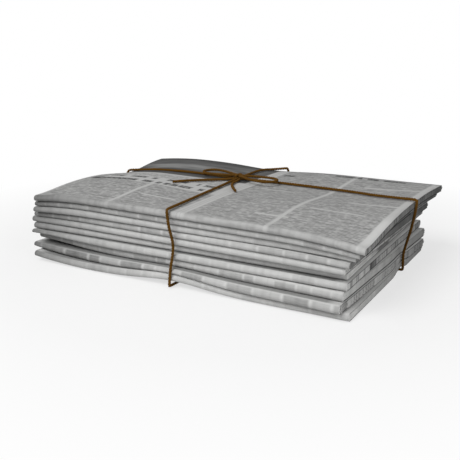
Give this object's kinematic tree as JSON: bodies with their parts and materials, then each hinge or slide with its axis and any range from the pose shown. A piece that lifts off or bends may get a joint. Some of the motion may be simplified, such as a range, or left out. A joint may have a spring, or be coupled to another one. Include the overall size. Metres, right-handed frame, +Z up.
{
  "type": "tied newspaper bundle",
  "caption": "Stack of folded broadsheet newspapers, tied crosswise with brown twine in a flat bow.",
  "frame": {"origin": "on the ground, in the middle of the stack's box", "axes": "+X along the folds to the right, +Y from the folds to the open edges, +Z up"},
  "size_m": [0.407, 0.2736, 0.0909],
  "materials": {
    "newsprint": "matte",
    "twine": "matte"
  },
  "bodies": {
    "root": {"newspaper_01": "newsprint", "newspaper_02": "newsprint", "newspaper_03": "newsprint", "newspaper_04": "newsprint", "newspaper_05": "newsprint", "newspaper_06": "newsprint", "newspaper_07": "newsprint", "newspaper_08": "newsprint", "newspaper_09": "newsprint", "newspaper_10": "newsprint", "twine_long_wrap": "twine", "twine_cross_wrap": "twine", "twine_knot": "twine", "bow_left_loop": "twine", "bow_right_loop": "twine", "twine_long_tail": "twine", "twine_short_tail": "twine"}
  },
  "joints": []
}
